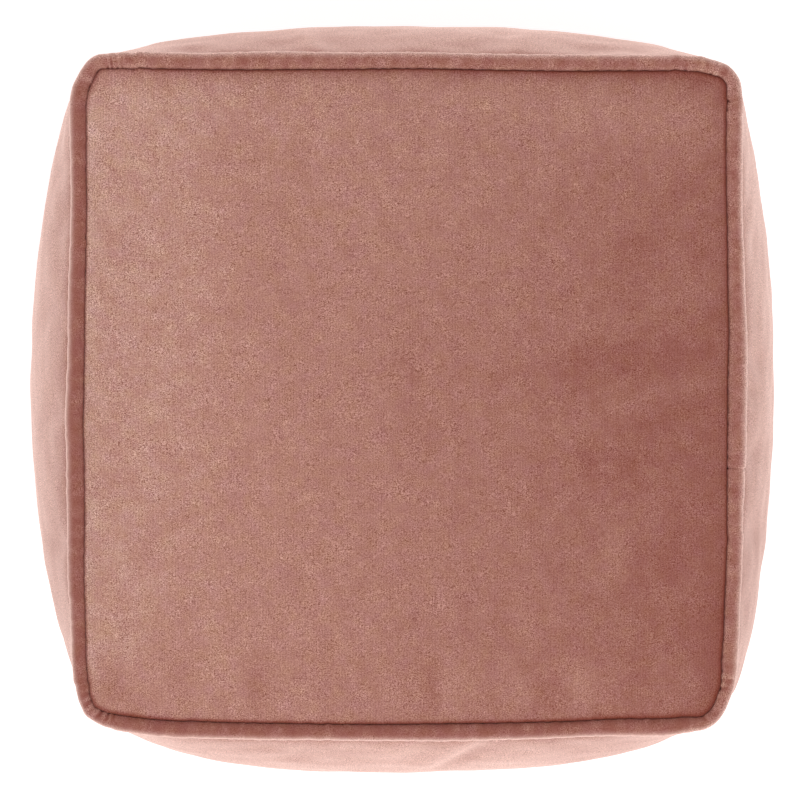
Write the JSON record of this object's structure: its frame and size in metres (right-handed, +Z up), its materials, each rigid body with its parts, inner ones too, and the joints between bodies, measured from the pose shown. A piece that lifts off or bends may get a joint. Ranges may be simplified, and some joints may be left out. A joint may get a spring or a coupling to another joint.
{
  "type": "velvet footstool",
  "caption": "Square soft velvet footstool: a filled cube with a crowned top, bulging sides, upright corner seams and round self-covered piping in its top and bottom seams.",
  "frame": {"origin": "on the floor under the middle of the footstool", "axes": "+Z up, +Y to the back (the top edge of the picture), +X to the right; the piping's join is on the +X side"},
  "size_m": [0.5288, 0.5295, 0.4],
  "materials": {
    "side_velvet": "dusty rose short-pile velvet, paler where it turns away from the eye",
    "top_velvet": "dusty rose short-pile velvet with a fine upright rib and soft nap marks",
    "piping_velvet": "the same velvet cut on the bias round a cord, with a pale sheen along its outer side",
    "base_cloth": "the same velvet, pressed flat where the footstool stands"
  },
  "bodies": {
    "root": {"side_band": "side_velvet", "top_panel": "top_velvet", "top_piping": "piping_velvet", "bottom_piping": "piping_velvet", "bottom_panel": "base_cloth"}
  },
  "joints": []
}
